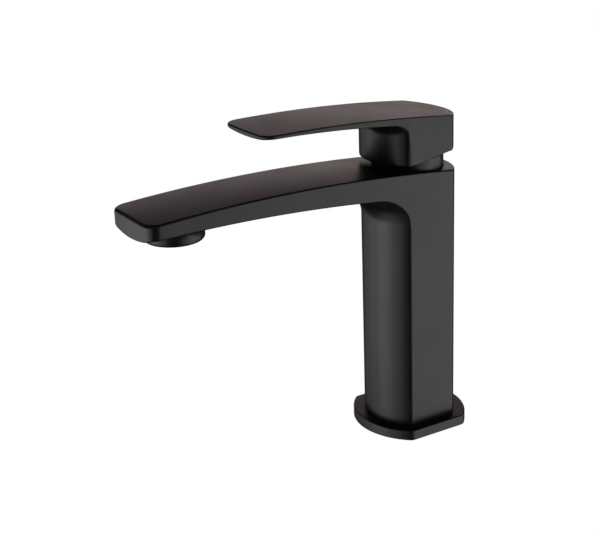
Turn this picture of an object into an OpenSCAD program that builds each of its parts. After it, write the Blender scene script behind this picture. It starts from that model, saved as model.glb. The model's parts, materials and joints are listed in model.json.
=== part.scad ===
// Single-lever basin mixer with a flat arched spout and a flat arched lever.
// The frame has +Z up and the spout along -Y. The origin is on the column's axis, in the plane that
// the base flange rests on. All sizes are in millimetres.

/* [Column] */
// Width across the flat sides of the column, the spout's root and the handle block
body_w = 44; // [43.6:0.2:46]
// Radius of the curved front and back of the column
arc_r = 28.7; // [26:0.1:32]
// Length of the flat stretch on each side of the column
flat_len = 27.5; // [26:0.5:30]

/* [Spout] */
// Highest point of the spout's arched top above the deck
spout_top_z = 152.1; // [151:0.1:152.5]
// Radius of the arched top, seen from the side
spout_top_r = 935; // [850:5:1100]
// Distance of the spout's front from the column's axis
spout_reach = 162.7; // [161:0.1:168]
// Half of the spout's width just behind its rounded front corners
spout_tip_half_w = 21.5; // [20:0.1:21.9]
// Distance of the aerator's axis from the column's axis
aerator_y = 139; // [138:0.1:141]
// Outer radius of the round outlet boss
boss_r = 15.2; // [14.5:0.1:15.5]

/* [Handle] */
// Highest point of the lever's arched top above the deck
lever_top_z = 181.9; // [181.5:0.1:184]
// Radius of the lever's arched top, seen from the side
lever_top_r = 800; // [700:10:900]
// Distance of the lever's tip from the column's axis
lever_reach = 98; // [95:0.1:115]
// Half of the lever's width just behind its rounded corners
lever_tip_half_w = 21; // [20:0.1:22]

/* [Base] */
// Width of the base flange across its flat sides
flange_w = 55.2; // [54:0.1:60]
// Thickness of the base flange
flange_t = 5.7; // [5:0.1:7]
// Radius of the flange's curved front and back
flange_arc_r = 35.8; // [35:0.1:40]
// Length of the flat stretch on each side of the flange
flange_flat_len = 34.4; // [33:0.2:37]

/* [Fittings] */
// Wall radius of the two tapped inlet sockets, M10 x 1
inlet_r = 4.5; // [4.4:0.05:4.6]
// Distance of each inlet socket from the column's mid-plane
inlet_x = 7.5; // [7:0.1:8]
// Wall radius of the tapped stud socket, M8
stud_r = 3.4; // [3.3:0.05:3.5]
// Colour of the matt black coating
coat = "#1f1d1c"; // [#1f1d1c, #2a2a2a, #111111]

/* [Hidden] */
$fn = 96;
big_fn = 720;      // for the arches, whose radii are hundreds of millimetres
eps = 0.5;         // how far a cut runs past the face that it opens
half_w = body_w / 2;
// the curved front of the column is part of a circle about this point on the Y axis
front_arc_y = sqrt(arc_r * arc_r - half_w * half_w) - flat_len / 2;

// spout
spout_crown_y = -91;
spout_corner_r = 7;
spout_front_r = 300;
under_crown_y = -128;
under_crown_z = spout_top_z - 9.6;
under_r = 890;
under_belly = 2.2;  // the underside hangs this much lower in the middle than at its edges
root_fillet_r = 14;
root_top_z = 138;
spout_wall = 2.6;
duct_w = 30;
duct_front_y = -150;
duct_back_y = -43;

// base: screws that hold the flange, spigot of the column, and rubber ring under the flange
screw_y = 20;
screw_head_r = 2.9;
screw_r = 1.5;
screw_head_t = 1.7;
screw_sunk = 0.2;
spigot_r = 16.5;
gasket_r_out = 25.8;
gasket_r_in = 23.2;
gasket_t = 2;

// outlet boss and aerator, heights above the deck
boss_z = 134;
boss_fillet_r = 5;
boss_edge_r = 2;
aerator_r = 11.5;
aerator_seat_z = 144;

// cartridge: radius of its cavity, and heights above the deck
cavity_r = 17.8;
floor_z = 111;
base_t = 5;
disc_z = floor_z + base_t;
fixed_t = 3.5;
moving_t = 3;
carrier_z = disc_z + fixed_t + moving_t;
carrier_top_z = 133.7;
guide_z = 134.4;
roof_z = 137.2;
shoulder_z = 139.2;
pivot_z = 145;
ball_z = 131;
housing_r = 17.4;
chamber_r = 15.3;
neck_r = 14.5;
neck_bore_r = 13;
neck_top_z = 148.5;
port_y = 4;
port_r = 3;
chamber_wall = 4;   // of the two cored water chambers in the column
chamber_web = 4;
chamber_back_y = 8.5;       // the chambers lie forward of this
chamber_z0 = 20;
chamber_z1 = floor_z - 7;
disc_rest_y = 3;    // with the lever closed, the moving disc is this far behind the axis
spindle_w = 8;

// collar
counterbore_z = 144.5;
counterbore_r = 19.5;
collar_r = 19.2;
collar_z = 145.6;
collar_top_z = 155;
collar_edge_r = 1.5;
collar_bore_r = 15.6;

// handle
handle_shift = -0.7;      // the block's outline sits this much forward of the column's
block_bottom_z = 152.9;
lever_crown_y = -85;
lever_under_crown_y = -98;
lever_under_z = lever_top_z - 2.05;
lever_under_r = 615;
lever_belly = 0.9;
lever_fillet_r = 6;
lever_fillet_z = 175.6;
lever_corner_r = 7;
lever_tip_r = 200;
hollow_r = 20.2;
hollow_top_z = 171;
grub_z = 165;
grub_r = 2.5;
plug_r = 3.1;
boss_half_w = 6.5;          // of the boss that holds the spindle
inlay_r = arc_r - 3;        // middle of the inlay, which follows the handle's curved back
inlay_w = 1.2;
inlay_depth = 0.6;

function arc(cx, cy, r, a0, a1, n) =
    [for (i = [0:n]) [cx + r * cos(a0 + (a1 - a0) * i / n), cy + r * sin(a0 + (a1 - a0) * i / n)]];

// outline of a bar that runs along -Y from the axis, narrows from w0 to w1 and ends in a shallow
// arc of radius tip_r between two corners of radius corner_r
function bar_outline(w0, w1, taper_y, reach, tip_r, corner_r) =
    let (arc_y = tip_r - reach,
         cx = w1 - corner_r,
         cy = arc_y - sqrt(pow(tip_r - corner_r, 2) - cx * cx),
         a = atan2(cy - arc_y, cx))
    concat([[-w0, 0], [w0, 0], [w0, taper_y]],
           arc(cx, cy, corner_r, 0, a, 8),
           arc(0, arc_y, tip_r, a, -180 - a, 16),
           arc(-cx, cy, corner_r, -180 - a, -180, 8),
           [[-w0, taper_y]]);

// two flats joined by curved ends
module double_d(w, r, flat) {
    s = sqrt(r * r - w * w / 4) - flat / 2;
    intersection() {
        square([w, 4 * r], center = true);
        translate([0, s]) circle(r);
        translate([0, -s]) circle(r);
    }
}

// everything below an arch whose crown is at (crown_y, crown_z); with a belly, the arch dips in the
// middle of its width and stays at full height at half_width from the middle
module under_arch(crown_y, crown_z, r, belly = 0, half_width = 21) {
    translate([0, crown_y, crown_z - r]) rotate([0, 90, 0])
        if (belly == 0) {
            cylinder(r = r, h = 80, center = true, $fn = big_fn);
        } else {
            belly_r = half_width * half_width / (2 * belly);
            rotate_extrude($fn = big_fn) difference() {
                translate([0, -30]) square([r + 5, 60]);
                translate([r - belly + belly_r, 0]) circle(belly_r, $fn = big_fn);
            }
        }
}

module ring(r_out, r_in, z0, z1) {
    translate([0, 0, z0]) difference() {
        cylinder(r = r_out, h = z1 - z0);
        translate([0, 0, -eps]) cylinder(r = r_in, h = z1 - z0 + 2 * eps);
    }
}

module o_ring(mid_r, wire_r, z) {
    translate([0, 0, z]) rotate_extrude() translate([mid_r, 0]) circle(wire_r, $fn = 32);
}

module both_ports(z0, z1, r) {
    for (side = [-1, 1]) translate([side * inlet_x, port_y, z0]) cylinder(r = r, h = z1 - z0);
}

module at_aerator() {
    translate([0, -aerator_y, 0]) children();
}

// a concave ring round the column's curved front, which eases it into a slab above
module ring_fillet(r, fillet_r, z_top, overlap) {
    rotate_extrude($fn = 180) difference() {
        translate([r - 1, z_top - fillet_r]) square([fillet_r + 1, fillet_r + overlap]);
        translate([r + fillet_r, z_top - fillet_r]) circle(fillet_r);
    }
}

module spout_plan() {
    polygon(bar_outline(half_w, spout_tip_half_w, -flat_len / 2, spout_reach,
                        spout_front_r, spout_corner_r));
}

module lever_plan() {
    polygon(bar_outline(half_w, lever_tip_half_w, -flat_len / 2, lever_reach,
                        lever_tip_r, lever_corner_r));
}

// ---- casting ---------------------------------------------------------------------------------

module spout_slab() {
    difference() {
        translate([0, 0, 120]) linear_extrude(40) spout_plan();
        under_arch(under_crown_y, under_crown_z, under_r, under_belly);
    }
}

module root_fillet() {
    intersection() {
        translate([0, front_arc_y, 0]) ring_fillet(arc_r, root_fillet_r, root_top_z, 3);
        translate([0, 0, 120]) linear_extrude(30) spout_plan();
    }
}

module outlet_boss() {
    at_aerator() translate([0, 0, boss_z]) rotate_extrude() {
        translate([0, boss_edge_r]) square([boss_r, 11 - boss_edge_r]);
        square([boss_r - boss_edge_r, boss_edge_r]);
        translate([boss_r - boss_edge_r, boss_edge_r]) circle(boss_edge_r, $fn = 32);
        translate([boss_r, 3.5]) difference() {
            square([boss_fillet_r, boss_fillet_r + 1]);
            translate([boss_fillet_r, 0]) circle(boss_fillet_r);
        }
    }
}

// two cored chambers, hot and cold, that lead the water up the column's front half
module water_chambers() {
    translate([0, 0, chamber_z0]) linear_extrude(chamber_z1 - chamber_z0) intersection() {
        double_d(body_w - 2 * chamber_wall, arc_r - chamber_wall, flat_len);
        for (side = [-1, 1]) translate([side * (chamber_web + body_w) / 2, chamber_back_y - body_w / 2])
            square(body_w, center = true);
    }
}

// flat passage through the spout, from above the outlet to the column
module spout_duct() {
    difference() {
        intersection() {
            under_arch(spout_crown_y, spout_top_z - spout_wall, spout_top_r);
            translate([-duct_w / 2, duct_front_y, 130])
                cube([duct_w, duct_back_y - duct_front_y, 30]);
        }
        under_arch(under_crown_y, under_crown_z + 1.8, under_r);
    }
    root = [[-16, 129], [-21, 129], [-25.5, 134.5], [-33, 139.9], [-44, 141], [-44, 147], [-40, 147],
            [-24, 139.5], [-16, 135.5]];
    translate([-10, 0, 0]) rotate([90, 0, 90]) linear_extrude(20) polygon(root);
}

module body_casting() {
    color(coat) difference() {
        intersection() {
            union() {
                translate([0, 0, flange_t]) linear_extrude(150) double_d(body_w, arc_r, flat_len);
                translate([0, 0, 0.5]) cylinder(r = spigot_r, h = flange_t);
                spout_slab();
                root_fillet();
                outlet_boss();
            }
            under_arch(spout_crown_y, spout_top_z, spout_top_r);
        }
        translate([0, 0, floor_z]) cylinder(r = cavity_r, h = 60);
        translate([0, 0, counterbore_z]) cylinder(r = counterbore_r, h = 20);
        // inlet sockets, the chambers above them and the ports in the cavity's floor
        both_ports(0, 14.5, inlet_r);
        both_ports(14, floor_z + 1, port_r);
        water_chambers();
        translate([0, -9.5, 0]) cylinder(r = stud_r, h = 16.5);
        for (y = [-screw_y, screw_y]) translate([0, y, 0]) cylinder(r = screw_r, h = 14);
        for (side = [-1, 1]) translate([side * 13, -8, floor_z - 3.5]) cylinder(r = 1.6, h = 5);
        spout_duct();
        at_aerator() {
            translate([0, 0, boss_z - eps]) cylinder(r = aerator_r, h = aerator_seat_z - boss_z + eps);
            translate([0, 0, aerator_seat_z - eps]) cylinder(r = 8.5, h = 3);
        }
    }
}

module base_flange() {
    color(coat) difference() {
        linear_extrude(flange_t) double_d(flange_w, flange_arc_r, flange_flat_len);
        translate([0, 0, -eps]) cylinder(r = spigot_r + 0.2, h = flange_t + 2 * eps);
        translate([0, 0, -eps]) ring(gasket_r_out, gasket_r_in, 0, gasket_t + eps);
        for (y = [-screw_y, screw_y]) translate([0, y, 0]) {
            translate([0, 0, -eps]) cylinder(r = screw_r + 0.1, h = flange_t + 2 * eps);
            translate([0, 0, screw_sunk]) cylinder(r1 = screw_head_r, r2 = screw_r, h = screw_head_t);
            translate([0, 0, -eps]) cylinder(r = screw_head_r, h = screw_sunk + eps);
        }
    }
}

module flange_screws() {
    color("silver") for (y = [-screw_y, screw_y]) translate([0, y, screw_sunk]) difference() {
        union() {
            cylinder(r1 = screw_head_r, r2 = screw_r, h = screw_head_t);
            cylinder(r = screw_r, h = 13);
        }
        translate([0, 0, -eps]) cylinder(r = 1.1, h = 1.5, $fn = 6);
    }
}

module base_gasket() {
    color("#222222") ring(gasket_r_out, gasket_r_in, 0, gasket_t);
}

// ---- collar and cartridge --------------------------------------------------------------------

module cartridge_cover() {
    color(coat) rotate_extrude($fn = 180) difference() {
        union() {
            translate([collar_bore_r, collar_z])
                square([collar_r - collar_bore_r, collar_top_z - collar_z - collar_edge_r]);
            translate([collar_bore_r, collar_z])
                square([collar_r - collar_bore_r - collar_edge_r, collar_top_z - collar_z]);
            translate([collar_r - collar_edge_r, collar_top_z - collar_edge_r])
                circle(collar_edge_r, $fn = 32);
        }
        translate([10, collar_z - eps]) square([cavity_r + 0.05 - 10, 4.6 + eps]);
    }
}

module cover_o_ring() {
    color("#222222") o_ring(18.5, 0.55, 145.05);
}

module cartridge_nut() {
    color("#b08d57") difference() {
        union() {
            translate([0, 0, shoulder_z]) cylinder(r = cavity_r - 0.05, h = 6.3);
            translate([0, 0, 145]) cylinder(r = 17.3, h = 4.5, $fn = 6);
        }
        translate([0, 0, shoulder_z - eps]) cylinder(r = neck_r + 0.2, h = 12);
    }
}

module cartridge_housing() {
    color("#d8d8d0") difference() {
        union() {
            translate([0, 0, disc_z]) cylinder(r = housing_r, h = shoulder_z - disc_z);
            translate([0, 0, disc_z]) cylinder(r = neck_r, h = neck_top_z - disc_z);
        }
        translate([0, 0, disc_z - eps]) cylinder(r = chamber_r, h = roof_z - disc_z + eps);
        translate([0, 0, disc_z]) cylinder(r = neck_bore_r, h = 60);
        // window that lets the mixed water out towards the spout
        translate([-8, -25, 125]) cube([16, 12, 9.5]);
        // groove for the O-ring
        ring(20, 16.3, 135.6, 137.2);
    }
}

module cartridge_o_ring() {
    color("#222222") o_ring(17.05, 0.75, 136.4);
}

module cartridge_base() {
    color("#3a3a3a") {
        difference() {
            translate([0, 0, floor_z]) cylinder(r = 17.3, h = base_t);
            both_ports(floor_z - eps, disc_z + eps, port_r);
            for (side = [-1, 1]) translate([side * inlet_x, port_y, 0]) {
                ring(5.1, port_r - 0.2, floor_z - eps, floor_z + 1.8);
                ring(4.8, port_r - 0.2, disc_z - 1.6, disc_z + eps);
            }
        }
        for (side = [-1, 1]) translate([side * 13, -8, floor_z - 3]) cylinder(r = 1.5, h = 4);
    }
}

module inlet_seals() {
    color("#222222") for (side = [-1, 1]) translate([side * inlet_x, port_y, 0])
        o_ring(4.15, 0.9, floor_z + 0.9);
}

module disc_seals() {
    color("#222222") for (side = [-1, 1]) translate([side * inlet_x, port_y, 0])
        o_ring(3.95, 0.8, disc_z - 0.8);
}

module fixed_disc() {
    color("ivory") difference() {
        translate([0, 0, disc_z]) cylinder(r = 14.8, h = fixed_t);
        both_ports(disc_z - eps, disc_z + fixed_t + eps, port_r);
    }
}

// closed, it covers both ports; slid forward, the notch in its rear edge uncovers them
module moving_disc() {
    color("#e8e4dc") difference() {
        translate([0, disc_rest_y, disc_z + fixed_t]) cylinder(r = 11.5, h = moving_t);
        translate([-10.5, 8.5, disc_z + fixed_t - eps]) cube([21, 10, 1.5 + eps]);
    }
}

module disc_carrier() {
    color("#c9c9c4") difference() {
        translate([0, disc_rest_y, carrier_z]) cylinder(r = 11.3, h = carrier_top_z - carrier_z);
        // pocket for the spindle's ball, longer at its mouth so that the spindle can tilt
        translate([-3.6, -3.6, ball_z - 4]) cube([7.2, 7.2, 10]);
        translate([-3.6, -3.6, ball_z + 0.8]) cube([7.2, 9.8, 10]);
        // grooves for the guide's two lugs
        for (side = [-1, 1]) translate([side * 9, 0, ball_z + 5]) cube([3, 40, 10], center = true);
    }
}

module spindle_guide() {
    color("#4a4a4a") difference() {
        union() {
            translate([0, 0, guide_z]) cylinder(r = 14.8, h = roof_z - guide_z - 0.1);
            translate([0, 0, guide_z]) cylinder(r = neck_bore_r - 0.07, h = 149 - guide_z);
            for (side = [-1, 1]) translate([side * 9, 0, guide_z - 1]) cube([2.4, 4, 4.4], center = true);
        }
        translate([-4.2, -8.8, guide_z - eps]) cube([8.4, 15.4, 20]);
        translate([0, 0, pivot_z]) rotate([0, 90, 0]) cylinder(r = 1.5, h = 40, center = true);
        ring(20, 11.8, 139.4, 140.6);
    }
}

module guide_o_ring() {
    color("#222222") o_ring(12.38, 0.57, 140);
}

module pivot_pin() {
    color("silver") translate([0, 0, pivot_z]) rotate([0, 90, 0]) cylinder(r = 1.5, h = 25, center = true);
}

module spindle() {
    color("silver") difference() {
        union() {
            translate([0, 0, ball_z]) sphere(3.4);
            translate([0, 0, ball_z]) cylinder(r = 2.6, h = 6);
            translate([-spindle_w / 2, -spindle_w / 2, 136]) cube([spindle_w, spindle_w, 33.5]);
        }
        translate([0, 0, pivot_z]) rotate([0, 90, 0]) cylinder(r = 1.56, h = 20, center = true);
    }
}

// ---- handle ----------------------------------------------------------------------------------

// what is cut away under the block: level in front, then rising towards the back
module below_block() {
    z = block_bottom_z;
    below = [[-40, 120], [-40, z], [-9, z], [11, z + 3.7], [40, z + 6.4], [40, 120]];
    translate([-40, 0, 0]) rotate([90, 0, 90]) linear_extrude(80) polygon(below);
}

module lever_blade() {
    difference() {
        translate([0, handle_shift, 165]) linear_extrude(20) lever_plan();
        under_arch(lever_under_crown_y, lever_under_z, lever_under_r, lever_belly);
    }
}

module lever_fillet() {
    intersection() {
        translate([0, front_arc_y + handle_shift, 0]) ring_fillet(arc_r, lever_fillet_r, lever_fillet_z, 2.5);
        translate([0, handle_shift, 150]) linear_extrude(40) lever_plan();
    }
}

module inlay_shape() {
    intersection() {
        translate([0, handle_shift - front_arc_y, 165]) linear_extrude(20) intersection() {
            difference() {
                circle(inlay_r + inlay_w / 2);
                circle(inlay_r - inlay_w / 2);
            }
            polygon([[0, 0], [8, 38], [24, 30]]);
        }
        difference() {
            under_arch(lever_crown_y, lever_top_z, lever_top_r);
            under_arch(lever_crown_y, lever_top_z - inlay_depth, lever_top_r - inlay_depth);
        }
    }
}

module lever_handle() {
    color(coat) difference() {
        intersection() {
            union() {
                difference() {
                    translate([0, handle_shift, 150]) linear_extrude(40)
                        double_d(body_w, arc_r, flat_len);
                    below_block();
                    cylinder(r = hollow_r, h = hollow_top_z);
                }
                lever_blade();
                lever_fillet();
                // boss that holds the spindle
                translate([-boss_half_w, -7, 160.5]) cube([2 * boss_half_w, 14, 12]);
            }
            under_arch(lever_crown_y, lever_top_z, lever_top_r);
        }
        translate([-4.03, -4.03, 150]) cube([8.06, 8.06, 19.6]);
        translate([0, 2, grub_z]) rotate([-90, 0, 0]) cylinder(r = grub_r, h = 8);
        translate([0, 15, grub_z]) rotate([-90, 0, 0]) cylinder(r = plug_r, h = 12);
        inlay_shape();
    }
}

module handle_grub_screw() {
    color("silver") translate([0, 4, grub_z]) rotate([-90, 0, 0]) difference() {
        cylinder(r = grub_r, h = 6);
        translate([0, 0, 3]) cylinder(r = 1.4, h = 4, $fn = 6);
    }
}

module grub_screw_plug() {
    color(coat) translate([0, 20.3, grub_z]) rotate([-90, 0, 0]) cylinder(r = plug_r, h = 2.9);
}

module indicator_inlay() {
    color("#8a8f98") inlay_shape();
}

// ---- aerator ---------------------------------------------------------------------------------

module aerator_shell() {
    color("#2b2b2b") at_aerator() difference() {
        translate([0, 0, boss_z + 0.3]) cylinder(r = aerator_r - 0.03, h = 8.2);
        translate([0, 0, boss_z + 1.3]) cylinder(r = 9.7, h = 10);
        translate([0, 0, boss_z]) cylinder(r = 8.7, h = 3);
        // notches for the key that screws it in
        for (a = [0:90:270])
            rotate([0, 0, a]) translate([0, 10.4, boss_z]) cube([2.4, 2.6, 2.2], center = true);
    }
}

module aerator_insert() {
    pitch = 3.6;
    color("#6d6d6a") at_aerator() difference() {
        translate([0, 0, boss_z + 1.3]) cylinder(r = 9.6, h = 5);
        for (i = [-2:2], j = [-2:2]) {
            x = pitch * (i + j / 2);
            y = pitch * j * sin(60);
            if (sqrt(x * x + y * y) < 7.4)
                translate([x, y, boss_z]) rotate([0, 0, 30]) cylinder(r = 1.85, h = 8, $fn = 6);
        }
    }
}

module aerator_screen() {
    color("silver") at_aerator() difference() {
        translate([0, 0, boss_z + 6.3]) cylinder(r = 9.6, h = 0.6);
        for (a = [0:45:315]) rotate([0, 0, a]) translate([5.5, 0, boss_z + 6]) cylinder(r = 1.1, h = 2);
        translate([0, 0, boss_z + 6]) cylinder(r = 1.1, h = 2);
    }
}

module flow_regulator() {
    color("#7fae8f") at_aerator() {
        ring(9.6, 7.2, boss_z + 6.9, boss_z + 8.5);
        translate([0, 0, boss_z + 6.9]) difference() {
            for (a = [0:60:120]) rotate([0, 0, a]) translate([-7.5, -0.7, 0]) cube([15, 1.4, 1.6]);
            translate([0, 0, -eps]) cylinder(r = 1.2, h = 3);
        }
    }
}

module aerator_washer() {
    color("#222222") at_aerator() ring(11.3, 8.7, boss_z + 8.5, aerator_seat_z);
}

body_casting();
base_flange();
flange_screws();
base_gasket();
cartridge_cover();
cover_o_ring();
cartridge_nut();
cartridge_housing();
cartridge_o_ring();
cartridge_base();
inlet_seals();
disc_seals();
fixed_disc();
moving_disc();
disc_carrier();
spindle_guide();
guide_o_ring();
pivot_pin();
spindle();
lever_handle();
handle_grub_screw();
grub_screw_plug();
indicator_inlay();
aerator_shell();
aerator_insert();
aerator_screen();
flow_regulator();
aerator_washer();
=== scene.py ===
# %% [markdown]
# # A matt black basin mixer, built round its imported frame
# The tap is one brass casting with a flat arched spout, a thin base plate, a round collar and a lever
# whose arch repeats the spout's. Everything is coated in the same matt black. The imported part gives
# the sizes and the places. This lesson rebuilds the coated shells with soft edges and rounded roots,
# and gives every piece its finish. All lengths below are in millimetres until a mesh is written out.

# %% Load the frame
import json
import math
from types import SimpleNamespace

import bmesh
import bpy
from mathutils import Matrix, Vector


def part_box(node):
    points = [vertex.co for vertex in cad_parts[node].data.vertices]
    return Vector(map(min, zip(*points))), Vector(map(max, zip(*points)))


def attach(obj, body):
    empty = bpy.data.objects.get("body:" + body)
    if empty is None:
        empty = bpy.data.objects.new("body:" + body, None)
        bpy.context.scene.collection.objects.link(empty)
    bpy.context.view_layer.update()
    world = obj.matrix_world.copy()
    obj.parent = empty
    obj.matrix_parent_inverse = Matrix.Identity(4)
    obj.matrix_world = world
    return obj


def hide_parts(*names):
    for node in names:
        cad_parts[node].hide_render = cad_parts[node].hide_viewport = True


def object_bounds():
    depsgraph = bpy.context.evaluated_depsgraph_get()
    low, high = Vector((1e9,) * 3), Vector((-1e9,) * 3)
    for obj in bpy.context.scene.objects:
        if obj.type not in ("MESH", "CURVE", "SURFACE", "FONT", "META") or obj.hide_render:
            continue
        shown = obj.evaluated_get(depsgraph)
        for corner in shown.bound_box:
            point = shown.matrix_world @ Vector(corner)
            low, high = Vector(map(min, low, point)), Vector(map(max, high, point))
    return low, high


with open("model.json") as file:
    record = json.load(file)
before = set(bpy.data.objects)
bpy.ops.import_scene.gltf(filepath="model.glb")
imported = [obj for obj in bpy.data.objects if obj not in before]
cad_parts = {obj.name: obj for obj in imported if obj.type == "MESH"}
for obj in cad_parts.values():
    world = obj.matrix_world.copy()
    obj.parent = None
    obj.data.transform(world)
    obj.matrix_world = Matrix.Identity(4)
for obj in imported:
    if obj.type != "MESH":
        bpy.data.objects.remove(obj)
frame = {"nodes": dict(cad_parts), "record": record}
cad_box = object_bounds()
MM = 0.001


def node_box(node):
    """A node's lowest and highest corner in millimetres."""
    low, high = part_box(node)
    return low / MM, high / MM


body_low, body_high = node_box("body_casting")
lever_low, lever_high = node_box("lever_handle")
flange_high = node_box("base_flange")[1]
print("frame of", len(frame["nodes"]), "nodes,", [round(v, 4) for v in cad_box[1] - cad_box[0]], "m")

# %% [markdown]
# ## Sizes that the shells share
# The column's plan is two flats joined by shallow arcs, and the lever's block has the same plan. The
# half width comes from the frame. The arcs' radius and the flats' length are the other two numbers,
# and the arcs' centres follow from all three. Both arcs get the same even steps of angle, so that the
# lines of points on the front run on along the spout and over the top.

# %% Plan of the column
half_w = body_high.x
arc_r = 28.7
flat_len = 27.5
side_y = flat_len / 2
arc_y = math.sqrt(arc_r ** 2 - half_w ** 2) - side_y
arc_half_angle = math.asin(half_w / arc_r)
arc_steps = 24
swing = [-arc_half_angle + 2 * arc_half_angle * i / arc_steps for i in range(arc_steps + 1)]
shares = [math.sin(a) / math.sin(arc_half_angle) for a in swing]      # -1 to 1 across the half width
print("column", 2 * half_w, "wide; arcs span", round(2 * math.degrees(arc_half_angle), 1), "degrees")

# %% [markdown]
# ## Arches and arcs
# Spout and lever are flat bars under very wide arches. An arch is a height over the plan, so that any
# outline can be lifted onto it. A little sag towards the sides keeps the broad tops from being dead
# flat, which is what grinding before the coat does to the real ones.


# %% Arch and arc helpers
def arch(crown_y, crown_z, radius, sag):
    """Height of a wide arch over (x, y); sag is how much lower it lies at the sides than in the middle."""
    return lambda x, y: (crown_z - radius + math.sqrt(radius ** 2 - (y - crown_y) ** 2)
                         - sag * (x / half_w) ** 2)


def turned(centre, radius, start, end, steps):
    """Points of an arc in plan, both ends included; angles in radians from +X."""
    angles = [start + (end - start) * i / steps for i in range(steps + 1)]
    return [(centre[0] + radius * math.cos(a), centre[1] + radius * math.sin(a)) for a in angles]


# %% [markdown]
# ## Growing a skin from a chain of edges
# The spout runs into the column through a wide fillet on a curved front, and no single bevel can make
# that: the fillet would run past the sides. It is grown instead. A chain of edges is extruded row by
# row, and each new row is put where the surface has to be, as when a panel is pulled edge by edge.
# Rows that meet share their points, so merging doubles afterwards closes the shell.

# %% Grow helpers
def start_chain(bm, points):
    """A chain of edges through the points; gives its vertices."""
    verts = [bm.verts.new(p) for p in points]
    for a, b in zip(verts, verts[1:]):
        bm.edges.new((a, b))
    return verts


def grow(bm, chain, rows):
    """Extrudes a chain of edges once for each row of points, and puts the new row on them."""
    for row in rows:
        edges = [bm.edges.get(pair) for pair in zip(chain, chain[1:])]
        made = set(bmesh.ops.extrude_edge_only(bm, edges=edges)["geom"])
        chain = [next(e.other_vert(v) for e in v.link_edges if e.other_vert(v) in made) for v in chain]
        for vert, point in zip(chain, row):
            vert.co = point
    return chain


def sheet_of(bm, rows):
    """A sheet of faces through rows of points, all rows with the same number of them."""
    grow(bm, start_chain(bm, rows[0]), rows[1:])


# %% [markdown]
# ## One recipe for the casting and the lever
# Both shells are a block with an arm that reaches forward under an arched top. A small record gives the
# arm's plan, the height of the top, of the arm's underside and of the block's foot. The arm narrows
# evenly and ends in a shallow arc between two rounded corners.


# %% Plan of the arm
CORNER_STEPS = 5


def tip_corner(shape):
    """Centre of the tip's right corner; the arm's straight side ends beside it."""
    x = shape.tip_half_w - shape.corner_r
    y = shape.tip_r - shape.reach - math.sqrt((shape.tip_r - shape.corner_r) ** 2 - x ** 2)
    return x, y


def tip_outline(shape):
    """Right half of the arm's tip, from the end of its straight side to the middle of its front."""
    arc_centre = shape.tip_r - shape.reach
    corner_x, corner_y = tip_corner(shape)
    turn = math.atan2(corner_y - arc_centre, corner_x)
    corner = turned((corner_x, corner_y), shape.corner_r, 0, turn, CORNER_STEPS)
    front = turned((0, arc_centre), shape.tip_r, turn, -math.pi / 2, arc_steps // 2 - CORNER_STEPS)
    return corner + front[1:]


def mirrored(right_half):
    """A right half outline continued to the left, with the middle point once."""
    return right_half + [(-x, y) for x, y in reversed(right_half[:-1])]


def arm_half_w(shape, y):
    """The block's half width where the arm leaves it, then evenly less towards the tip."""
    root_y = shape.shift - side_y
    share = max(0.0, (root_y - y) / (root_y - tip_corner(shape)[1]))
    return half_w + (shape.tip_half_w - half_w) * share


# %% [markdown]
# ## Front, fillet and underside
# These three are one sheet on the real thing too: nobody can see where the front ends and the spout
# begins. The fillet's rows lie on wider and wider arcs while they climb, a quarter turn in all. Rows
# every 6 millimetres are close enough for the underside, because its arch is so wide.

# %% Rows of the front sheet
FILLET_STEPS = 10
FIRST_GAP = 4         # millimetres from the fillet to the first row of the underside
ROW_GAP = 6           # millimetres from row to row along the underside, about


def fillet_point(shape, share, part):
    """Part 0 is the top of the block's front, part 1 the start of the underside."""
    lean = part * math.pi / 2
    radius = arc_r + shape.fillet_r * (1 - math.cos(lean))
    drop = shape.fillet_r * (1 - math.sin(lean))
    y = arc_y + shape.shift - math.sqrt(radius ** 2 - (share * half_w) ** 2)
    x = share * arm_half_w(shape, y)
    return x, y, shape.under(x, y) - drop


def front_rows(shape):
    """Rows of points up the block's front from its foot, round the fillet and along the underside."""
    foot_row = []
    for share in shares:
        x = share * half_w
        y = arc_y + shape.shift - math.sqrt(arc_r ** 2 - x ** 2)
        foot_row.append((x, y, shape.foot(y)))
    fillet = [[fillet_point(shape, s, k / FILLET_STEPS) for s in shares] for k in range(FILLET_STEPS + 1)]
    first_y = min(p[1] for p in fillet[-1]) - FIRST_GAP
    last_y = tip_corner(shape)[1]
    count = max(2, round((first_y - last_y) / ROW_GAP))
    under = []
    for k in range(count + 1):
        y = first_y + (last_y - first_y) * k / count
        w = arm_half_w(shape, y)
        under.append([(s * w, y, shape.under(s * w, y)) for s in shares])
    return [foot_row] + fillet + under


# %% [markdown]
# ## Closing the shell
# Four more sheets close it: the wall round the arm, the wall round the block, the top and the foot. All
# of them start from points that the others have too, so merging doubles joins them. The block's wall
# has a line of points at the height where the fillet starts, because its front corners need one. Once
# the sheets are joined, the rest of that line is dissolved.


# %% Shell of a block with an arm
def block_plan(shape):
    """The ys where the block's flats have points, and the arc of its back from right to left."""
    back_y = shape.shift - arc_y
    back = [(s * half_w, back_y + math.sqrt(arc_r ** 2 - (s * half_w) ** 2)) for s in reversed(shares)]
    root_y = shape.shift - side_y
    return [root_y] + [y for y in shape.folds if root_y < y < back[0][1]], back


def grow_walls(bm, shape, rows, tip, flat, back):
    """Wall of the arm round its tip, then wall of the block round its back; gives the height they meet at."""
    edge = [row[-1] for row in rows[1:]] + tip[-2:0:-1] + [row[0] for row in reversed(rows[1:])]
    sheet_of(bm, [[p, (p[0], p[1], shape.top(p[0], p[1]))] for p in edge])
    plan = [(half_w, y) for y in flat] + back + [(-half_w, y) for y in reversed(flat)]
    mid = rows[1][-1][2]
    sheet_of(bm, [[(x, y, shape.foot(y)), (x, y, mid), (x, y, shape.top(x, y))] for x, y in plan])
    return mid


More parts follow.
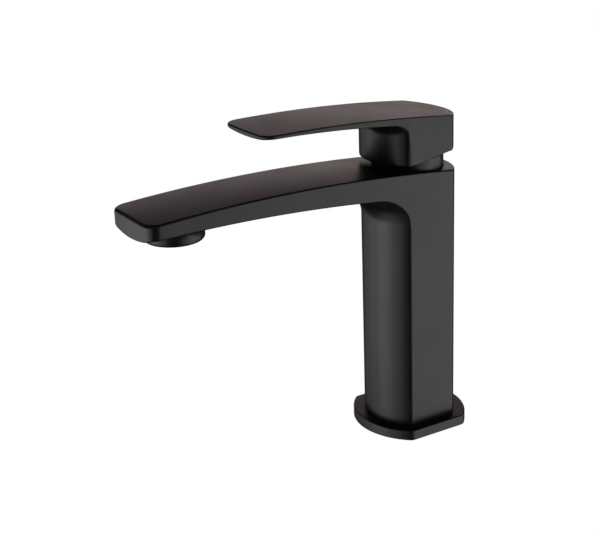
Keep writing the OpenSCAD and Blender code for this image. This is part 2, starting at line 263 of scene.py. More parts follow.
def grow_top_and_foot(bm, shape, rows, tip, flat, back):
    """The top in rows from the tip to the back arc, and the flat part of the foot in rungs."""
    crossings = [(row[-1][0], row[-1][1]) for row in reversed(rows[1:])]
    crossings += [(half_w, y) for y in flat[1:] + [back[0][1]]]
    across = [[(s * w, y) for s in shares] for w, y in crossings]
    plan_rows = [[(x, y) for x, y, z in tip]] + across + [list(reversed(back))]
    sheet_of(bm, [[(x, y, shape.top(x, y)) for x, y in row] for row in plan_rows])
    rungs = flat + [back[0][1]]
    sheet_of(bm, [[(-half_w, y, shape.foot(y)), (half_w, y, shape.foot(y))] for y in rungs])


def block_with_arm(shape):
    """Grows the closed shell; shape holds the outline and its heights, in millimetres."""
    bm = bmesh.new()
    rows = front_rows(shape)
    tip = [(x, y, shape.under(x, y)) for x, y in reversed(mirrored(tip_outline(shape)))]
    sheet_of(bm, rows + [tip])
    flat, back = block_plan(shape)
    mid = grow_walls(bm, shape, rows, tip, flat, back)
    grow_top_and_foot(bm, shape, rows, tip, flat, back)
    bmesh.ops.remove_doubles(bm, verts=bm.verts, dist=0.002)
    seam = [e for e in bm.edges if all(abs(v.co.z - mid) < 1e-4 for v in e.verts)
            and all(v.co.y > flat[0] - 1e-3 for v in e.verts)]
    bmesh.ops.dissolve_edges(bm, edges=seam, use_verts=True)
    bmesh.ops.holes_fill(bm, edges=bm.edges, sides=0)
    bmesh.ops.recalc_face_normals(bm, faces=bm.faces)
    return bm


# %% [markdown]
# ## Small radii where edges were ground
# A cast and coated edge is never sharp, and its radius changes along the piece. So each outer edge
# stores its own radius as a bevel weight, and one Bevel modifier rounds them all. Hollow corners are
# left alone, because the fillets are grown already.

# %% Edge radii
ROUND_MOST = 2.5      # an edge with weight 1 is rounded this far, in millimetres
SHARP_FROM = 25       # in degrees; flatter edges are part of a curve


def middle(edge):
    return (edge.verts[0].co + edge.verts[1].co) / 2


def mark_edges(bm, radius_at):
    """Stores on every sharp outer edge how far it is to be rounded, in millimetres."""
    layer = bm.edges.layers.float.new("bevel_weight_edge")
    marked = 0
    for edge in bm.edges:
        if len(edge.link_faces) == 2 and edge.calc_face_angle_signed(0) > math.radians(SHARP_FROM):
            edge[layer] = radius_at(edge) / ROUND_MOST
            marked += 1
    return marked


# %% [markdown]
# ## Cutting bores, and writing a mesh out
# A bore in a soft-edged shell is a Boolean with a plain cutter. Its result is baked at once, so that the
# mesh holds what is rendered, and the next cut starts from a plain mesh.

# %% Object and modifier helpers
def as_object(bm, name):
    """Writes a millimetre bmesh out as an object in metres."""
    mesh = bpy.data.meshes.new(name)
    bmesh.ops.scale(bm, vec=(MM, MM, MM), verts=bm.verts)
    bm.to_mesh(mesh)
    bm.free()
    obj = bpy.data.objects.new(name, mesh)
    bpy.context.scene.collection.objects.link(obj)
    return obj


def bake(obj):
    """Replaces an object's mesh by what its modifiers make of it."""
    graph = bpy.context.evaluated_depsgraph_get()
    baked = bpy.data.meshes.new_from_object(obj.evaluated_get(graph))
    obj.modifiers.clear()
    old = obj.data
    obj.data = baked
    bpy.data.meshes.remove(old)


def round_edges(obj, segments=4):
    """Rounds the marked edges, each by its own weight, so that a fine edge can run into a full one."""
    rounding = obj.modifiers.new("rounding", "BEVEL")
    rounding.limit_method = "WEIGHT"
    rounding.offset_type = "OFFSET"
    rounding.width = ROUND_MOST * MM
    rounding.segments = segments
    rounding.profile = 0.5
    rounding.use_clamp_overlap = False
    rounding.loop_slide = True
    bake(obj)


def combine(obj, bm, operation):
    """Cuts or joins a millimetre bmesh to an object, and bakes the result."""
    tool = as_object(bm, obj.name + "_tool")
    change = obj.modifiers.new("combine", "BOOLEAN")
    change.operation = operation
    change.solver = "EXACT"
    change.object = tool
    bake(obj)
    bpy.data.objects.remove(tool)


# %% [markdown]
# ## Turned cutters
# Nearly all bores and bosses of a tap are turned, so they are profiles spun once round an axis, and
# plain drill holes are drums.


# %% Cutter helpers
def full_turn(bm, chain, steps):
    """Spins a chain and all its edges once round the upright axis."""
    bmesh.ops.spin(bm, geom=chain + list(bm.edges), cent=(0, 0, 0), axis=(0, 0, 1), angle=2 * math.pi,
                   steps=steps, use_merge=True)


def drum(radius, low, high, at=(0, 0), segments=96, axis="Z"):
    """A closed cylinder between two places along an axis."""
    bm = bmesh.new()
    bmesh.ops.create_cone(bm, cap_ends=True, cap_tris=False, segments=segments, radius1=radius,
                          radius2=radius, depth=high - low)
    bmesh.ops.translate(bm, vec=(0, 0, (high + low) / 2), verts=bm.verts)
    if axis == "Y":
        bmesh.ops.rotate(bm, cent=(0, 0, 0), matrix=Matrix.Rotation(-math.pi / 2, 3, "X"), verts=bm.verts)
        bmesh.ops.translate(bm, vec=(at[0], 0, at[1]), verts=bm.verts)
    else:
        bmesh.ops.translate(bm, vec=(at[0], at[1], 0), verts=bm.verts)
    return bm


def turning(profile, at=(0, 0), steps=96):
    """A closed turned solid from a profile of (radius, height) points that starts and ends on its axis."""
    bm = bmesh.new()
    full_turn(bm, start_chain(bm, [(r, 0, z) for r, z in profile]), steps)
    bmesh.ops.remove_doubles(bm, verts=bm.verts, dist=0.001)
    bmesh.ops.recalc_face_normals(bm, faces=bm.faces)
    bmesh.ops.translate(bm, vec=(at[0], at[1], 0), verts=bm.verts)
    return bm


# %% [markdown]
# ## Shading, and a place in the frame
# Creases sharper than 38 degrees stay creases, the rest is smooth, and a Weighted Normal modifier keeps
# the broad faces flat next to their small rounded edges. Then the piece is parented to the empty of the body
# it rides on, and the plain nodes that it stands for are hidden.

# %% Finish a piece
CREASE = 38      # in degrees


def finish(obj, body, nodes):
    """Marks creases, shades smooth, parents the piece to its body's empty and hides the nodes it stands for.
    """
    bm = bmesh.new()
    bm.from_mesh(obj.data)
    bmesh.ops.remove_doubles(bm, verts=bm.verts, dist=2e-6)
    bmesh.ops.recalc_face_normals(bm, faces=bm.faces)
    for face in bm.faces:
        face.smooth = True
    for edge in bm.edges:
        edge.smooth = len(edge.link_faces) == 2 and edge.calc_face_angle(0) < math.radians(CREASE)
    open_edges = sum(len(e.link_faces) != 2 for e in bm.edges)
    triangles = sum(len(f.verts) - 2 for f in bm.faces)
    bm.to_mesh(obj.data)
    bm.free()
    weighted = obj.modifiers.new("flat faces stay flat", "WEIGHTED_NORMAL")
    weighted.keep_sharp = True
    weighted.weight = 100
    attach(obj, body)
    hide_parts(*nodes)
    print(obj.name, "-", triangles, "triangles,", open_edges, "open edges")


# %% [markdown]
# ## The casting: column, spout and outlet boss
# The real body is cast in one piece and ground before it is coated, so its edges are small even radii
# and the spout's root is a generous fillet. The underside has a belly: it is fuller along its middle
# than at its sides. Edges are finest along the spout and softer at its tip.

# %% Shell of the casting
belly_half_w = 21.0      # the half width that the bellies are given for
spout_belly = 2.7
spout_top = arch(crown_y=-91, crown_z=152.7, radius=935, sag=0.6)
spout_under = arch(crown_y=-128, crown_z=142.5 - spout_belly, radius=890,
                   sag=-spout_belly * (half_w / belly_half_w) ** 2)

casting = SimpleNamespace(
    shift=0, reach=-body_low.y, tip_half_w=21.5, tip_r=300, corner_r=7, fillet_r=14,
    top=spout_top, under=spout_under, foot=lambda y: flange_high.z, folds=[-8, -2, 4, 9])


def casting_rounding(edge):
    """The upper edge of the spout's tip is rounded most, the foot on the plate not at all."""
    at = middle(edge)
    softer_from_y, softer_over, upper_from_z = -150, 6, 145
    if at.z < flange_high.z + 0.01:
        return 0
    softer = 1.0 if at.z > upper_from_z else 0.2
    return 0.7 + softer * min(1, max(0, (softer_from_y - at.y) / softer_over))


shell = block_with_arm(casting)
print("casting shell:", len(shell.faces), "faces,", mark_edges(shell, casting_rounding), "edges to round")
tap_body = as_object(shell, "tap_body_shell")
round_edges(tap_body)

# %% [markdown]
# The outlet boss and the spigot under the column are joined to it. The boss is turned, and its profile
# has its edge radius and the flare into the underside as arcs. It starts a little inside the spout, so
# that no two faces lie in one plane, which a Boolean handles badly.

# %% Outlet boss and spigot
outlet_y = -139.0
boss_r, boss_z = 15.2, 134.0
edge_r, flare_r, flare_rise, sunk = 2, 5, 3.5, 1.5
boss_edge = turned((boss_r - edge_r, boss_z + edge_r), edge_r, -math.pi / 2, 0, 6)
boss_flare = turned((boss_r + flare_r, boss_z + flare_rise), flare_r, math.pi, math.pi / 2, 8)
flare_end_r, flare_end_z = boss_flare[-1]
boss_top = [(flare_end_r, flare_end_z + sunk), (0, flare_end_z + sunk)]
boss_profile = [(0, boss_z)] + boss_edge + boss_flare + boss_top
combine(tap_body, turning(boss_profile, at=(0, outlet_y)), "UNION")

spigot_r, spigot_low_z, overlap = 16.5, 0.5, 0.4
combine(tap_body, drum(spigot_r, spigot_low_z, flange_high.z + overlap), "UNION")
print("boss", 2 * boss_r, "across, spigot", 2 * spigot_r, "across")

# %% [markdown]
# The bores are the ones that can be seen into: the cavity for the cartridge, with a wider thread for the
# ring nut above it, the threaded outlet with a chamfered mouth, two sockets for the hoses and one for
# the stud that holds the tap down.

# %% Bores of the casting
cavity_r, cavity_floor_z = 17.8, 111
nut_thread_r, nut_thread_z = 19.5, 144.5
cavity = [(0, cavity_floor_z), (cavity_r, cavity_floor_z), (cavity_r, nut_thread_z),
          (nut_thread_r, nut_thread_z), (nut_thread_r, 160), (0, 160)]
combine(tap_body, turning(cavity), "DIFFERENCE")

thread_r, chamfer, thread_top_z = 11.5, 0.6, 144
water_r, water_top_z = 8.5, 146.5
outlet = [(0, boss_z - 1), (thread_r + chamfer, boss_z - 1), (thread_r + chamfer, boss_z),
          (thread_r, boss_z + chamfer), (thread_r, thread_top_z), (water_r, thread_top_z),
          (water_r, water_top_z), (0, water_top_z)]
combine(tap_body, turning(outlet, at=(0, outlet_y)), "DIFFERENCE")

hose_socket = SimpleNamespace(radius=4.5, depth=14.5)
stud_socket = SimpleNamespace(radius=3.4, depth=16.5)
for x, y, socket in [(-7.5, 4, hose_socket), (7.5, 4, hose_socket), (0, -9.5, stud_socket)]:
    combine(tap_body, drum(socket.radius, -1, socket.depth, at=(x, y), segments=48), "DIFFERENCE")
finish(tap_body, "tap_body", ["body_casting"])

# %% [markdown]
# ## The base plate
# The plate hides the hole in the basin. Its plan repeats the column's, a little larger, so it is made
# from two arcs in the same way. The plan is filled, extruded to its thickness and rounded on its upright
# corners and its top edge. The underside lies flat on the basin, so its edge stays sharp.

# %% Base plate
plate_half_w = flange_high.x
plate_arc_r = 35.8
plate_flat_len = 34.4
plate_arc_y = math.sqrt(plate_arc_r ** 2 - plate_half_w ** 2) - plate_flat_len / 2
plate_angle = math.asin(plate_half_w / plate_arc_r)


def plate_arc(centre_y, facing):
    """One of the plate's two arcs; facing is the angle of its middle."""
    return turned((0, centre_y), plate_arc_r, facing - plate_angle, facing + plate_angle, 32)


def plate_rounding(edge):
    at = middle(edge)
    if at.z < 0.01:
        return 0
    return 0.8 if at.z > flange_high.z - 0.01 else 1.6


plate = bmesh.new()
outline = plate_arc(plate_arc_y, -math.pi / 2) + plate_arc(-plate_arc_y, math.pi / 2)
bottom = plate.faces.new(start_chain(plate, [(x, y, 0) for x, y in outline]))
raised = bmesh.ops.extrude_face_region(plate, geom=[bottom])["geom"]
upper = [part for part in raised if isinstance(part, bmesh.types.BMVert)]
bmesh.ops.translate(plate, vec=(0, 0, flange_high.z), verts=upper)
bmesh.ops.recalc_face_normals(plate, faces=plate.faces)
print("plate:", mark_edges(plate, plate_rounding), "edges to round")
base_plate = as_object(plate, "base_plate")
round_edges(base_plate)

# %% [markdown]
# From below, the plate takes the casting's spigot, a groove for the sealing ring and two countersunk
# screws. Each screw hole is one turned profile, because a drill and a countersink cut after each other
# would share faces.


# %% Holes of the plate
def turned_ring(profile):
    """A closed ring from a loop of (radius, height) points that stays clear of the axis."""
    bm = bmesh.new()
    loop = start_chain(bm, [(r, 0, z) for r, z in profile])
    bm.edges.new((loop[-1], loop[0]))
    full_turn(bm, loop, 128)
    bmesh.ops.recalc_face_normals(bm, faces=bm.faces)
    return bm


spigot_room = 0.2
combine(base_plate, drum(spigot_r + spigot_room, -1, flange_high.z + 1), "DIFFERENCE")
groove = [(23.2, -0.5), (25.8, -0.5), (25.8, 2), (23.2, 2)]
combine(base_plate, turned_ring(groove), "DIFFERENCE")
head_r, shank_r, head_end_z, shank_z = 2.9, 1.6, 0.2, 1.8
sunk_hole = [(0, -1), (head_r, -1), (head_r, head_end_z), (shank_r, shank_z), (shank_r, 7), (0, 7)]
for y in (-20, 20):
    combine(base_plate, turning(sunk_hole, at=(0, y), steps=48), "DIFFERENCE")
finish(base_plate, "tap_body", ["base_flange"])

# %% [markdown]
# ## The lever
# The lever is a block with a thin blade, grown by the same recipe. Its arch is rounder than the spout's.
# The foot of the block is level in front and rises towards the back, so that the lever can tilt. The
# edges are finer than the casting's, except for the block's upright front corners.

# %% Shell of the lever
lever_shift = -0.7
blade_thick, blade_belly = 2.05, 0.9
lever_top = arch(crown_y=-85, crown_z=lever_high.z, radius=800, sag=0.15)
lever_under = arch(crown_y=-98, crown_z=lever_high.z - blade_thick - blade_belly, radius=615,
                   sag=-blade_belly * (half_w / belly_half_w) ** 2)
foot_z = lever_low.z
foot_line = [(-9, 0), (11, 3.7), (40, 6.4)]


def lever_foot(y):
    """Level up to the first point of foot_line, then straight from point to point."""
    for (y0, z0), (y1, z1) in zip(foot_line, foot_line[1:]):
        if y0 < y <= y1:
            return foot_z + z0 + (z1 - z0) * (y - y0) / (y1 - y0)
    return foot_z


lever_shape = SimpleNamespace(
    shift=lever_shift, reach=-lever_low.y, tip_half_w=21, tip_r=200, corner_r=7, fillet_r=6,
    top=lever_top, under=lever_under, foot=lever_foot, folds=[-9, -3, 4, 11])


def lever_rounding(edge):
    """The block's upright front corners are full, the blade's tip is round, the rest is fine."""
    at = middle(edge)
    upright = abs(edge.verts[0].co.z - edge.verts[1].co.z) > 8
    blade_tip_y, foot_top_z, root_top_z, root_back_y = -88, foot_z + 8, 174.5, -10
    if upright:
        return 1.7 if at.y < 0 else 0.8
    if at.y < blade_tip_y:
        return 0.8
    if at.z < foot_top_z:
        return 0.6
    curved_root = at.z < root_top_z and at.y < root_back_y
    return 1.6 if curved_root else 0.5


shell = block_with_arm(lever_shape)
print("lever shell:", len(shell.faces), "faces,", mark_edges(shell, lever_rounding), "edges to round")
lever = as_object(shell, "lever_shell")
round_edges(lever)

# %% [markdown]
# The block is hollow, so that it clears the collar. A square boss hangs down in the hollow and takes the
# spindle, and a screw from the back clamps it. The screw's hole is wider at its mouth, for the plug.


# %% Hollow, spindle boss and screw hole
def brick(low, high):
    """A box between two corners."""
    bm = bmesh.new()
    bmesh.ops.create_cube(bm, size=1)
    size = [b - a for a, b in zip(low, high)]
    bmesh.ops.scale(bm, vec=size, verts=bm.verts)
    bmesh.ops.translate(bm, vec=[(a + b) / 2 for a, b in zip(low, high)], verts=bm.verts)
    return bm


below_z = 150                              # below the block, where its cutters start
hollow_r, hollow_top_z = 20.2, 171
hollow = [(0, below_z), (hollow_r, below_z), (hollow_r, hollow_top_z), (0, hollow_top_z)]
combine(lever, turning(hollow), "DIFFERENCE")
combine(lever, brick((-6.5, -7, 160.5), (6.5, 7, hollow_top_z + 0.5)), "UNION")
half = 4.03                                # of the spindle's hole, from side to side
combine(lever, brick((-half, -half, below_z), (half, half, 169.6)), "DIFFERENCE")
grub_z, grub_r, plug_hole_r = 165, 2.5, 3.1
combine(lever, drum(grub_r, 2, 9, at=(0, grub_z), axis="Y", segments=48), "DIFFERENCE")
combine(lever, drum(plug_hole_r, 15, 27, at=(0, grub_z), axis="Y", segments=64), "DIFFERENCE")
print("lever hollowed to", 2 * hollow_r, "across")

# %% [markdown]
# ## The pale arc in the lever's top
# The arc is a thin ring sector that runs beside the block's rear edge. It is partly a cold-side indicator and
# partly a painted highlight: a pale piece where that rounded edge catches a bright rim. It is grown along the
# arched top twice: once as the cutter of its groove, and once a hair lower and narrower as the inlay itself.

# %% Pale arc
pale_arc_centre = (0, lever_shift - arc_y)
pale_arc_r = arc_r - 3
pale_arc_from, pale_arc_to = math.atan2(30, 24), math.atan2(38, 8)


def arc_strip(width, depth, rise):
    """A ring sector that follows the lever's arched top, from depth below it to rise above it."""
    bm = bmesh.new()
    rows = []
    for x, y in turned(pale_arc_centre, pale_arc_r, pale_arc_from, pale_arc_to, 24):
        out = Vector((x - pale_arc_centre[0], y - pale_arc_centre[1])).normalized() * width / 2
        low, high = lever_top(x, y) - depth, lever_top(x, y) + rise
        inner, outer = (x - out.x, y - out.y), (x + out.x, y + out.y)
        rows.append([(*inner, low), (*outer, low), (*outer, high), (*inner, high), (*inner, low)])
    sheet_of(bm, rows)
    bmesh.ops.remove_doubles(bm, verts=bm.verts, dist=0.001)
    bmesh.ops.holes_fill(bm, edges=bm.edges, sides=0)
    bmesh.ops.recalc_face_normals(bm, faces=bm.faces)
    return bm


combine(lever, arc_strip(width=1.2, depth=0.6, rise=1.0), "DIFFERENCE")
finish(lever, "lever", ["lever_handle"])
strip = arc_strip(width=1.16, depth=0.58, rise=-0.03)
mark_edges(strip, lambda edge: 0.08)
# This pale piece is partly a painted highlight along the lever's rear edge.
arc_inlay_and_highlight = as_object(strip, "indicator_and_highlight_arc")
round_edges(arc_inlay_and_highlight, segments=2)
finish(arc_inlay_and_highlight, "lever", ["indicator_inlay"])

# %% [markdown]
# ## The collar
# The collar is turned: a plain sleeve with a full radius on its upper rim and a finer one at its mouth.
# Its profile is a loop clear of the axis, so one spin closes it.

# %% Collar
collar_low, collar_high = node_box("cartridge_cover")
collar_r = collar_high.x
grip_r, mouth_r, step_z = 17.85, 15.6, 150.2
rim_r, inner_rim_r, foot_cut = 1.5, 0.5, 0.3
foot = [(grip_r, collar_low.z), (collar_r - foot_cut, collar_low.z), (collar_r, collar_low.z + foot_cut)]
rim = turned((collar_r - rim_r, collar_high.z - rim_r), rim_r, 0, math.pi / 2, 8)
inner_rim = turned((mouth_r + inner_rim_r, collar_high.z - inner_rim_r), inner_rim_r, math.pi / 2, math.pi, 4)
collar = as_object(turned_ring(foot + rim + inner_rim + [(mouth_r, step_z), (grip_r, step_z)]), "collar")
finish(collar, "tap_body", ["cartridge_cover"])

# %% [markdown]
# ## The plug
# The plug that closes the screw hole is a shallow dome with a fine lip, pressed into the back of the
# block. It is turned upright like the rest, and then laid down to face the back.

# %% Plug
plug_low, plug_high = node_box("grub_screw_plug")
plug_r = 3.08
dome = [(0, plug_low.y), (plug_r, plug_low.y), (plug_r, plug_high.y - 0.5),
        (plug_r - 0.12, plug_high.y - 0.3), (plug_r - 0.4, plug_high.y - 0.2),
        (1.5, plug_high.y - 0.04), (0, plug_high.y)]
plug_mesh = turning(dome, steps=64)
to_back = Matrix.Rotation(-math.pi / 2, 3, "X")
bmesh.ops.rotate(plug_mesh, cent=(0, 0, 0), matrix=to_back, verts=plug_mesh.verts)
bmesh.ops.translate(plug_mesh, vec=(0, 0, grub_z), verts=plug_mesh.verts)
plug = as_object(plug_mesh, "grub_screw_plug_cap")
finish(plug, "lever", ["grub_screw_plug"])

# %% [markdown]
# ## Short words for shader nodes
# A node tree is easier to read as two lists, its nodes with their constants and its links. Three short
# helpers allow that. A group is a tree of its own with named sockets on its outside.

# %% Node helpers
def make_group(name, inputs, outputs):
    """An empty node group with float inputs, given as names and values, and float outputs."""
    group = bpy.data.node_groups.new(name, "ShaderNodeTree")
    for label, value in inputs.items():
        socket = group.interface.new_socket(label, in_out="INPUT", socket_type="NodeSocketFloat")
        socket.default_value = value
    for label in outputs:
        group.interface.new_socket(label, in_out="OUTPUT", socket_type="NodeSocketFloat")
    return group, group.nodes.new("NodeGroupInput"), group.nodes.new("NodeGroupOutput")


def add(tree, kind, settings=None, values=None):
    """A new node with its settings, and the constants of its input sockets by name or place."""
    node = tree.nodes.new(kind)
    for key, value in (settings or {}).items():
        setattr(node, key, value)
    for socket, value in (values or {}).items():
        node.inputs[socket].default_value = value
    return node


def wire(tree, *links):
    """Links given as node, output, node, input."""
    for source, output, target, socket in links:
        tree.links.new(source.outputs[output], target.inputs[socket])


# %% [markdown]
# ## Fine grain, as a node group
# A matt coat is not one flat tone. Under a soft light it shows a fine pebble of cured powder a few
# tenths of a millimetre across, and broad, faint clouds where it was handled. The group gives both,
# as a colour factor and a height, from Object coordinates, so that the pattern stays on the piece.

# %% Grain group
grain, grain_in, grain_out = make_group(
    "coat grain", {"Grain Size": 2500.0, "Cloud Size": 45.0}, ["Clouds", "Speckle", "Height"])
place = add(grain, "ShaderNodeTexCoord")
pebble = add(grain, "ShaderNodeTexNoise", values={"Detail": 2.0, "Roughness": 0.55})
cloud = add(grain, "ShaderNodeTexNoise", values={"Detail": 3.0, "Roughness": 0.5})
cells = add(grain, "ShaderNodeTexVoronoi", {"feature": "SMOOTH_F1"}, {"Smoothness": 0.6})
blend = add(grain, "ShaderNodeMath", {"operation": "ADD"})
wire(grain,
     (place, "Object", pebble, "Vector"),
     (place, "Object", cloud, "Vector"),
     (place, "Object", cells, "Vector"),
     (grain_in, "Grain Size", pebble, "Scale"),
     (grain_in, "Grain Size", cells, "Scale"),
     (grain_in, "Cloud Size", cloud, "Scale"),
     (pebble, "Fac", blend, 0),
     (cells, "Distance", blend, 1),
     (cloud, "Fac", grain_out, "Clouds"),
     (pebble, "Fac", grain_out, "Speckle"),
     (blend, "Value", grain_out, "Height"))
print("grain group:", len(grain.nodes), "nodes")

# %% [markdown]
# ## Worn edges and painted edge highlights, as a node group
# A lighter tone along the outer edges stands for wear on the pieces inside the tap. On the black coat it is a
# painted highlight, the sheen that a rounded edge catches.
# The Bevel shader node gives the normal that a rounder edge would have. Where that differs from the
# real normal there is an edge, and a noise breaks the line up so that it doesn't look drawn.

# %% Edge group
# This mask puts a painted highlight along the black coat's edges, and marks wear on the pieces inside.
edges, edges_in, edges_out = make_group("edge wear", {"Width": 0.001, "Amount": 1.0}, ["Mask"])
rounder = add(edges, "ShaderNodeBevel", {"samples": 4})
surface = add(edges, "ShaderNodeNewGeometry")
facing = add(edges, "ShaderNodeVectorMath", {"operation": "DOT_PRODUCT"})
spread = add(edges, "ShaderNodeMapRange", {"clamp": True}, {"From Min": 0.995, "From Max": 0.90})
where = add(edges, "ShaderNodeTexCoord")
patchy = add(edges, "ShaderNodeTexNoise", values={"Scale": 160.0, "Detail": 4.0})
broken = add(edges, "ShaderNodeMath", {"operation": "MULTIPLY"})
strength = add(edges, "ShaderNodeMath", {"operation": "MULTIPLY"})
wire(edges,
     (edges_in, "Width", rounder, "Radius"),
     (rounder, "Normal", facing, 0),
     (surface, "Normal", facing, 1),
     (facing, "Value", spread, "Value"),
     (where, "Object", patchy, "Vector"),
     (spread, "Result", broken, 0),
     (patchy, "Fac", broken, 1),
     (broken, "Value", strength, 0),
     (edges_in, "Amount", strength, 1),
     (strength, "Value", edges_out, "Mask"))
print("edge group:", len(edges.nodes), "nodes")

# %% [markdown]
# ## One recipe for every finish
# A finish here is a base colour with a little cloud and speckle, a roughness that follows both, a lighter
# tone along the edges that stands for wear and on the coat is a painted highlight, and a height for the bump.
# Metals differ from coats in the Metallic socket and in their colours only. Values that are the same all over
# are set on the shader itself.

# %% Finish recipe
BUMP_HEIGHT = 0.00002      # metres from the bottom of the grain to its top
# The lighter edge tone is wear on the pieces inside the tap, and a painted highlight on the black coat.
WEAR_AND_HIGHLIGHT_WIDTH = 0.0009        # metres from an edge to where its wear ends


def mix_colours(tree, first, second=None):
    """A Mix node for colours, with its constants set."""
    node = add(tree, "ShaderNodeMix", {"data_type": "RGBA"}, {"B": (*first, 1)})
    if second:
        node.inputs["A"].default_value = (*second, 1)
    return node


def wear_and_highlight_colour(tree, colour, wear_and_highlight, wear_and_highlight_tone):
    """Puts the lighter tone of wear and painted highlight over a colour along the edges, and gives the new
    colour's socket.
    """
    wear_and_highlight_mask = add(tree, "ShaderNodeGroup", {"node_tree": edges}, {"Width": WEAR_AND_HIGHLIGHT_WIDTH, "Amount": wear_and_highlight})
    lighter = mix_colours(tree, wear_and_highlight_tone)
    wire(tree, (wear_and_highlight_mask, "Mask", lighter, "Factor"))
    tree.links.new(colour, lighter.inputs["A"])
    return lighter.outputs["Result"]


def finish_material(name, dark, light, rough, metallic=0.0, grain_size=2500.0, bump=0.1, wear_and_highlight=0.0,
                    wear_and_highlight_tone=(0.3, 0.3, 0.3)):
    material = bpy.data.materials.new(name)
    material.use_nodes = True
    tree = material.node_tree
    shader = tree.nodes["Principled BSDF"]
    shader.inputs["Metallic"].default_value = metallic
    shader.inputs["IOR"].default_value = 1.5
    grains = add(tree, "ShaderNodeGroup", {"node_tree": grain}, {"Grain Size": grain_size})
    tint = mix_colours(tree, light, dark)
    colour_spread = add(tree, "ShaderNodeMapRange", {"clamp": True}, {"From Min": 0.35, "From Max": 0.65})
    cloud_share = add(tree, "ShaderNodeMath", {"operation": "MULTIPLY"}, {1: 0.65})
    speckle_share = add(tree, "ShaderNodeMath", {"operation": "MULTIPLY_ADD"}, {1: 0.35})
    rough_spread = add(tree, "ShaderNodeMapRange", {"clamp": True}, {
        "From Min": 0.3, "From Max": 0.7, "To Min": rough[0], "To Max": rough[1]})
    lift = add(tree, "ShaderNodeBump", values={"Strength": bump, "Distance": BUMP_HEIGHT})
    wire(tree,
         (grains, "Clouds", colour_spread, "Value"),
         (colour_spread, "Result", tint, "Factor"),
         (grains, "Clouds", cloud_share, 0),
         (grains, "Speckle", speckle_share, 0),
         (cloud_share, "Value", speckle_share, 2),
         (speckle_share, "Value", rough_spread, "Value"),
         (rough_spread, "Result", shader, "Roughness"),
         (grains, "Height", lift, "Height"),
         (lift, "Normal", shader, "Normal"))
    colour = tint.outputs["Result"]
    if wear_and_highlight:
        colour = wear_and_highlight_colour(tree, colour, wear_and_highlight, wear_and_highlight_tone)
    tree.links.new(colour, shader.inputs["Base Color"])
    return material


# %% [markdown]
# ## The finishes
# The coat is a very dark warm grey with a soft gloss, and the lighter tone along its edges is a painted
# highlight. Steel, brass, ceramic, rubber and the mouldings are for the pieces inside the tap and in its
# outlet, and each has its own grain and wear. The pale enamel is for the arc in the lever's top, which is
# partly a painted highlight.

# %% Coat and metals
# On the black coat the lighter tone along the edges is a painted highlight, the sheen of its rounded edges.
black_coat = finish_material("black_coat", dark=(0.0075, 0.0068, 0.0066), light=(0.0105, 0.0094, 0.0090),
                             rough=(0.30, 0.38), bump=0.12, wear_and_highlight=0.10, wear_and_highlight_tone=(0.05, 0.047, 0.045))
steel = finish_material("steel", dark=(0.52, 0.52, 0.51), light=(0.62, 0.62, 0.61), rough=(0.22, 0.36),
                        metallic=1.0, grain_size=1400, wear_and_highlight=0.3, wear_and_highlight_tone=(0.8, 0.8, 0.8))
brass = finish_material("brass", dark=(0.56, 0.40, 0.18), light=(0.68, 0.50, 0.24), rough=(0.24, 0.38),
                        metallic=1.0, grain_size=1200, wear_and_highlight=0.3, wear_and_highlight_tone=(0.85, 0.68, 0.4))

# %% [markdown]
# The finishes inside follow. Rubber is the roughest and ceramic the smoothest. The mouldings have a
# coarse, faint grain from their mould.

# %% Rubber, mouldings, enamel and ceramic
rubber = finish_material("rubber", dark=(0.012, 0.012, 0.012), light=(0.022, 0.021, 0.020),
                         rough=(0.55, 0.72), grain_size=1800, bump=0.2)
white_plastic = finish_material("white_plastic", dark=(0.62, 0.61, 0.56), light=(0.70, 0.69, 0.64),
                                rough=(0.34, 0.48), grain_size=900, wear_and_highlight=0.2, wear_and_highlight_tone=(0.8, 0.8, 0.76))
dark_plastic = finish_material("dark_plastic", dark=(0.018, 0.018, 0.019), light=(0.030, 0.030, 0.031),
                               rough=(0.38, 0.52), grain_size=1500, wear_and_highlight=0.2, wear_and_highlight_tone=(0.08, 0.08, 0.08))
green_plastic = finish_material("green_plastic", dark=(0.16, 0.33, 0.21), light=(0.22, 0.40, 0.27),
                                rough=(0.36, 0.5), grain_size=1200)
plug_plastic = finish_material("plug_plastic", dark=(0.010, 0.009, 0.009), light=(0.016, 0.015, 0.014),
                               rough=(0.36, 0.48), grain_size=2000, wear_and_highlight=0.15, wear_and_highlight_tone=(0.05, 0.05, 0.05))
# The pale enamel of the arc is partly a painted highlight along the lever's rear edge.
inlay_enamel = finish_material("inlay_enamel", dark=(0.58, 0.70, 0.90), light=(0.66, 0.78, 0.96),
                               rough=(0.24, 0.34), grain_size=2600, bump=0.06)
ceramic = finish_material("ceramic", dark=(0.70, 0.67, 0.60), light=(0.78, 0.75, 0.68),
                          rough=(0.10, 0.18), grain_size=2400, bump=0.04)
finishes = {material.name: material for material in (
    black_coat, steel, brass, rubber, white_plastic, dark_plastic, green_plastic, plug_plastic,
    inlay_enamel, ceramic)}
print(len(finishes), "finishes")

# %% [markdown]
# ## Which piece has which finish
# The record says which slot every node takes, so the finishes are handed out by name: to the nodes as
# they are, through their material slots, and to the new shells.

# %% Assign finishes
slot_of_node = {node: entry["slot"] for entry in frame["record"]["materials"]
                for node in entry.get("nodes", [])}


def dress(obj, material):
    obj.data.materials.clear()
    obj.data.materials.append(material)


for name, node in frame["nodes"].items():
    if name in slot_of_node:
        dress(node, finishes[slot_of_node[name]])
new_pieces = {tap_body: black_coat, base_plate: black_coat, lever: black_coat, collar: black_coat,
              plug: plug_plastic, arc_inlay_and_highlight: inlay_enamel}
for piece, material in new_pieces.items():
    dress(piece, material)
print(len(slot_of_node), "nodes and", len(new_pieces), "new pieces have their finish")

